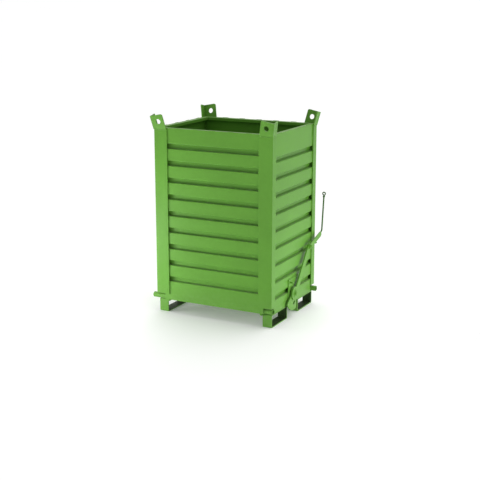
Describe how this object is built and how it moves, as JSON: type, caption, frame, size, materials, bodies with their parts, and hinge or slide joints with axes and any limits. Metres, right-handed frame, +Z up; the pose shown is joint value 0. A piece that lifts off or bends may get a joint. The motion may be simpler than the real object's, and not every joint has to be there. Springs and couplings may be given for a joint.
{
  "type": "drop bottom bulk container",
  "caption": "Tall ribbed steel bulk container on fork hoops, with crane lugs and two hinged floor leaves let go by an end lever.",
  "frame": {"origin": "on the ground under the middle of the whole part, handle included", "axes": "+Z up, +X towards the end with the latch lever, +Y towards the side over which the pull ring stands out; X along the long sides of the box"},
  "size_m": [1.09, 0.9563, 1.5646],
  "materials": {
    "wall_paint": "satin",
    "frame_paint": "satin",
    "floor_paint": "satin",
    "tube_paint": "satin",
    "latch_paint": "satin",
    "pin_paint": "satin"
  },
  "bodies": {
    "box": {"bearing_front_left": "frame_paint", "bearing_front_right": "frame_paint", "bearing_rear_left": "frame_paint", "bearing_rear_right": "frame_paint", "floor_strip_left": "frame_paint", "floor_strip_right": "frame_paint", "fork_hoop_front_left": "frame_paint", "fork_hoop_front_right": "frame_paint", "fork_hoop_rear_left": "frame_paint", "fork_hoop_rear_right": "frame_paint", "latch_plate": "latch_paint", "lever_rest": "latch_paint", "lever_stop": "pin_paint", "lug_front_left": "frame_paint", "lug_front_right": "frame_paint", "lug_rear_left": "frame_paint", "lug_rear_right": "frame_paint", "pivot_pin": "pin_paint", "pivot_spacer": "pin_paint", "pivot_washer": "pin_paint", "post_front_left": "frame_paint", "post_front_right": "frame_paint", "post_rear_left": "frame_paint", "post_rear_right": "frame_paint", "rim_front": "wall_paint", "rim_left": "wall_paint", "rim_rear": "wall_paint", "rim_right": "wall_paint", "sill_front": "frame_paint", "sill_left": "frame_paint", "sill_rear": "frame_paint", "sill_right": "frame_paint", "split_pin": "pin_paint", "wall_front": "wall_paint", "wall_left": "wall_paint", "wall_rear": "wall_paint", "wall_right": "wall_paint"},
    "front_leaf": {"front_hinge_tube": "tube_paint", "front_leaf_lip": "floor_paint", "front_leaf_ribs": "floor_paint", "front_leaf_sheet": "floor_paint", "front_tube_collars": "tube_paint", "striker": "floor_paint"},
    "rear_leaf": {"rear_hinge_tube": "tube_paint", "rear_leaf_edge_bar": "floor_paint", "rear_leaf_ribs": "floor_paint", "rear_leaf_sheet": "floor_paint", "rear_tube_collars": "tube_paint"},
    "latch_lever": {"hook_plate": "latch_paint", "lever_bar": "latch_paint", "lever_hub": "latch_paint", "lever_arm": "latch_paint", "joint_bolt": "pin_paint", "joint_nut": "pin_paint", "pull_rod": "latch_paint", "rod_collar": "latch_paint", "pull_ring": "latch_paint"}
  },
  "joints": [
    {"name": "front_leaf_hinge", "type": "hinge", "parent": "box", "child": "front_leaf", "pos_m": [0, -0.4182, 0.126], "axis": [-1, 0, 0], "range_deg": [0, 80]},
    {"name": "rear_leaf_hinge", "type": "hinge", "parent": "box", "child": "rear_leaf", "pos_m": [0, 0.3098, 0.126], "axis": [1, 0, 0], "range_deg": [0, 80]},
    {"name": "latch_pivot", "type": "hinge", "parent": "box", "child": "latch_lever", "pos_m": [0.516, -0.0842, 0.189], "axis": [1, 0, 0], "range_deg": [0, 50]}
  ],
  "couplings": [
    {"joint": "rear_leaf_hinge", "follows": "front_leaf_hinge", "ratio": 1},
    {"joint": "latch_pivot", "follows": "front_leaf_hinge", "ratio": 0.625}
  ]
}
